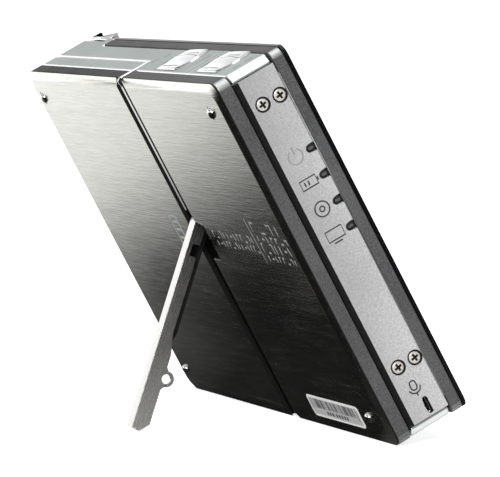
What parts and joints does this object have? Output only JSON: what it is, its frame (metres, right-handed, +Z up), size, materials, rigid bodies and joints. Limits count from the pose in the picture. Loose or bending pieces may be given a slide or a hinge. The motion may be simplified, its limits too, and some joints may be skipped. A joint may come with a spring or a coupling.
{
  "type": "portable media player",
  "caption": "Flat pocket media player with a wide screen, rockers on top and front, removable battery half and a fold-out metal leg in a channel on its back.",
  "frame": {"origin": "middle of the overall box, on the surface that the player stands on", "axes": "+Z up; the screen faces -Y and leans back, the status lights' side faces -X"},
  "size_m": [0.124, 0.0482, 0.0758],
  "materials": {
    "satin_silver": "fine satin",
    "dark_shell": "fine grain",
    "black_plastic": "matte",
    "brushed_plate": "brushed across the body",
    "bright_chrome": "bright",
    "stand_steel": "satin",
    "lens_gloss": "glossy",
    "light_pipe": "smoked clear",
    "rubber": "matte",
    "circuit_board": "solder mask",
    "chip_black": "matte",
    "cell_wrap": "wrapped",
    "drive_case": "plain",
    "panel_glass": "smooth",
    "diffuser": "white film",
    "contact_gold": "plated"
  },
  "bodies": {
    "player_body": {"av_jack": "black_plastic", "backlight_unit": "diffuser", "body_gasket": "rubber", "channel_trim": "bright_chrome", "contact_block": "black_plastic", "control_board": "circuit_board", "dc_jack": "black_plastic", "decoder_chip": "chip_black", "drive_rail_lower": "rubber", "drive_rail_upper": "rubber", "front_bezel": "dark_shell", "front_rocker_rod": "stand_steel", "hard_drive": "drive_case", "headphone_jack": "black_plastic", "jack_board": "circuit_board", "lcd_panel": "panel_glass", "light_board": "circuit_board", "main_board": "circuit_board", "microphone": "stand_steel", "middle_frame": "satin_silver", "plate_screw_1": "stand_steel", "plate_screw_2": "stand_steel", "processor_chip": "chip_black", "rear_frame": "dark_shell", "rear_plate": "brushed_plate", "screen_lens": "lens_gloss", "shield_can": "drive_case", "side_panel": "satin_silver", "side_screw_1": "stand_steel", "side_screw_2": "stand_steel", "side_screw_3": "stand_steel", "side_screw_4": "stand_steel", "speaker": "black_plastic", "stand_detent_spring": "stand_steel", "stand_pin": "stand_steel", "stand_trough": "black_plastic", "status_light_1": "light_pipe", "status_light_2": "light_pipe", "status_light_3": "light_pipe", "status_light_4": "light_pipe", "top_rocker_pin_1": "stand_steel", "top_rocker_pin_2": "stand_steel", "top_switch_board": "circuit_board", "usb_port": "drive_case", "video_board": "circuit_board"},
    "stand": {"stand_leg": "stand_steel"},
    "battery_module": {"battery_case": "satin_silver", "battery_band": "dark_shell", "battery_plate": "brushed_plate", "battery_cell_1": "cell_wrap", "battery_cell_2": "cell_wrap", "battery_contacts": "contact_gold", "plate_screw_3": "stand_steel", "plate_screw_4": "stand_steel"},
    "top_key_1": {"top_rocker_1": "bright_chrome"},
    "top_key_2": {"top_rocker_2": "bright_chrome"},
    "front_key_1": {"front_rocker_1": "bright_chrome"},
    "front_key_2": {"front_rocker_2": "bright_chrome"},
    "front_key_3": {"front_rocker_3": "bright_chrome"},
    "front_key_4": {"front_rocker_4": "bright_chrome"}
  },
  "joints": [
    {"name": "stand_hinge", "type": "hinge", "parent": "player_body", "child": "stand", "pos_m": [-0.00425, 0.00702, 0.03988], "axis": [1, 0, 0], "range_deg": [-46.5, 0]},
    {"name": "battery_slide", "type": "slide", "parent": "player_body", "child": "battery_module", "axis": [1, 0, 0], "range_m": [0, 0.01]},
    {"name": "top_rocker_tilt_1", "type": "hinge", "parent": "player_body", "child": "top_key_1", "pos_m": [-0.0218, 0.01409, 0.06879], "axis": [1, 0, 0], "range_deg": [-4, 4], "stiffness_Nm_per_rad": 0.04},
    {"name": "top_rocker_tilt_2", "type": "hinge", "parent": "player_body", "child": "top_key_2", "pos_m": [-0.0465, 0.01409, 0.06879], "axis": [1, 0, 0], "range_deg": [-4, 4], "stiffness_Nm_per_rad": 0.04},
    {"name": "front_rocker_tilt_1", "type": "hinge", "parent": "player_body", "child": "front_key_1", "pos_m": [0.0536, 0.00898, 0.0696], "axis": [0, 0.4362, 0.8999], "range_deg": [-3, 3], "stiffness_Nm_per_rad": 0.1},
    {"name": "front_rocker_tilt_2", "type": "hinge", "parent": "player_body", "child": "front_key_2", "pos_m": [0.0536, 0.00462, 0.0606], "axis": [0, 0.4362, 0.8999], "range_deg": [-3, 3], "stiffness_Nm_per_rad": 0.1},
    {"name": "front_rocker_tilt_3", "type": "hinge", "parent": "player_body", "child": "front_key_3", "pos_m": [0.0536, 0.00026, 0.0516], "axis": [0, 0.4362, 0.8999], "range_deg": [-3, 3], "stiffness_Nm_per_rad": 0.1},
    {"name": "front_rocker_tilt_4", "type": "hinge", "parent": "player_body", "child": "front_key_4", "pos_m": [0.0536, -0.0041, 0.0426], "axis": [0, 0.4362, 0.8999], "range_deg": [-3, 3], "stiffness_Nm_per_rad": 0.1}
  ]
}
